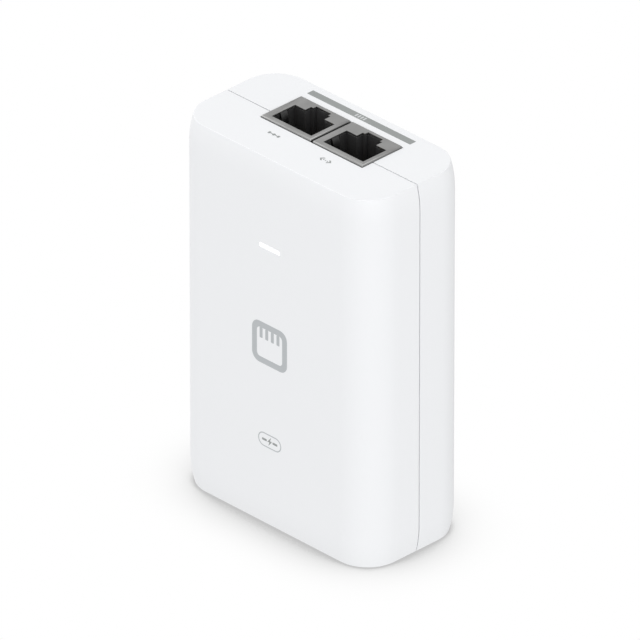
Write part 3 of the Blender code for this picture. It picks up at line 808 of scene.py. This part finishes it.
def makeFrontMark():
    # a plain network-socket pictogram: a rounded frame with contact bars hanging inside
    w = frontMark["width"]
    h = frontMark["height"]
    wall = frontMark["wall"]
    place = (0, frontY - ink["lift"], frontMark["z"])
    outer = roundedRect(w, h, frontMark["round"])
    inner = roundedRect(w - 2 * wall, h - 2 * wall, frontMark["round"] - wall * 0.8)
    inkFilm("front_mark_frame", [outer, inner[::-1]], "midGreyInk", place, "front")
    pitch = (w - 2 * wall) / (frontMark["bars"] + 0.5)
    for number in range(frontMark["bars"]):
        du = (number - (frontMark["bars"] - 1) / 2) * pitch
        bar = roundedRect(frontMark["barWidth"], frontMark["barHeight"], 0.2 * mm, 3)
        dv = h / 2 - wall - frontMark["barHeight"] / 2
        inkFilm("front_mark_bar_" + str(number + 1), [shifted(bar, du, dv)], "midGreyInk", place, "front")


badge = {"width": 7.2 * mm, "height": 3.5 * mm, "z": 22.0 * mm, "line": 0.26 * mm,
         "dash": 1.5 * mm, "dashHeight": 0.55 * mm, "dashPlace": 1.65 * mm}


def makeBadge():
    # outlined capsule with a small charge bolt and a dash on each side
    w = badge["width"]
    h = badge["height"]
    line = badge["line"]
    place = (0, frontY - ink["lift"], badge["z"])
    outer = roundedRect(w, h, h / 2)
    inner = roundedRect(w - 2 * line, h - 2 * line, h / 2 - line)
    inkFilm("badge_outline", [outer, inner[::-1]], "midGreyInk", place, "front")
    bolt = [(0.42, 1.15), (-0.72, -0.18), (-0.10, -0.18), (-0.42, -1.15), (0.72, 0.18), (0.10, 0.18)]
    inkFilm("badge_bolt", [[(u * mm, v * mm) for u, v in bolt]], "darkGreyInk", place, "front")
    for side, label in ((-1, "left"), (1, "right")):
        dash = roundedRect(badge["dash"], badge["dashHeight"], 0.2 * mm, 3)
        moved = shifted(dash, side * badge["dashPlace"], 0)
        inkFilm("badge_dash_" + label, [moved], "darkGreyInk", place, "front")


stripe = {"length": 32.0 * mm, "width": 1.9 * mm, "y": 12.15 * mm, "dashes": 4, "dashPitch": 0.85 * mm,
          "dashMiddle": -0.2 * mm, "dashWidth": 0.42 * mm, "dashHeight": 1.1 * mm}


def makeStripe():
    # grey bar behind the jacks with a short row of light dashes in it
    place = Vector((0, stripe["y"], topZ + ink["lift"]))
    bar = roundedRect(stripe["length"], stripe["width"], 0.12 * mm, 3)
    inkFilm("stripe", [bar], "darkGreyInk", place, "top")
    over = place + Vector((0, 0, ink["thick"]))
    for number in range(stripe["dashes"]):
        du = stripe["dashMiddle"] + (number - (stripe["dashes"] - 1) / 2) * stripe["dashPitch"]
        dash = roundedRect(stripe["dashWidth"], stripe["dashHeight"], 0.1 * mm, 3)
        inkFilm("stripe_dash_" + str(number + 1), [shifted(dash, du, 0)], "lightGreyInk", over, "top")


portSymbol = {"y": -6.8 * mm, "span": 3.4 * mm, "blob": 0.62 * mm, "line": 0.24 * mm}


def networkShapes():
    # three linked boxes, as for a wired network
    span = portSymbol["span"]
    blob = portSymbol["blob"]
    box = roundedRect(blob, blob * 1.3, 0.12 * mm, 3)
    shapes = [shifted(box, side * (span - blob) / 2, 0) for side in (-1, 0, 1)]
    gap = (span - 3 * blob) / 2
    link = roundedRect(gap, portSymbol["line"], 0.05 * mm, 2)
    return shapes + [shifted(link, side * (blob + gap) / 2, 0) for side in (-1, 1)]


def cableShapes():
    # two brackets with three dots between them, as for a powered cable run
    reach = portSymbol["span"] / 2
    shapes = []
    for side in (-1, 1):
        tip = [(reach, 0), (reach - 0.7 * mm, 0.72 * mm), (reach - 1.1 * mm, 0.58 * mm),
               (reach - 0.5 * mm, 0), (reach - 1.1 * mm, -0.58 * mm), (reach - 0.7 * mm, -0.72 * mm)]
        shapes.append([(side * u, v) for u, v in tip])
    dot = roundedRect(0.34 * mm, 0.34 * mm, 0.15 * mm, 3)
    return shapes + [shifted(dot, du * mm, 0) for du in (-0.55, 0.0, 0.55)]


def makePortSymbols():
    for node, label, shapes in (("data_port_shield", "data", networkShapes()),
                                ("power_port_shield", "power", cableShapes())):
        low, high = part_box(node)
        place = ((low.x + high.x) / 2, portSymbol["y"], topZ + ink["lift"])
        for number, shape in enumerate(shapes):
            inkFilm(label + "_symbol_" + str(number + 1), [shape], "darkGreyInk", place, "top")


makeFrontMark()
makeBadge()
makeStripe()
makePortSymbols()
print("printed marks ready")
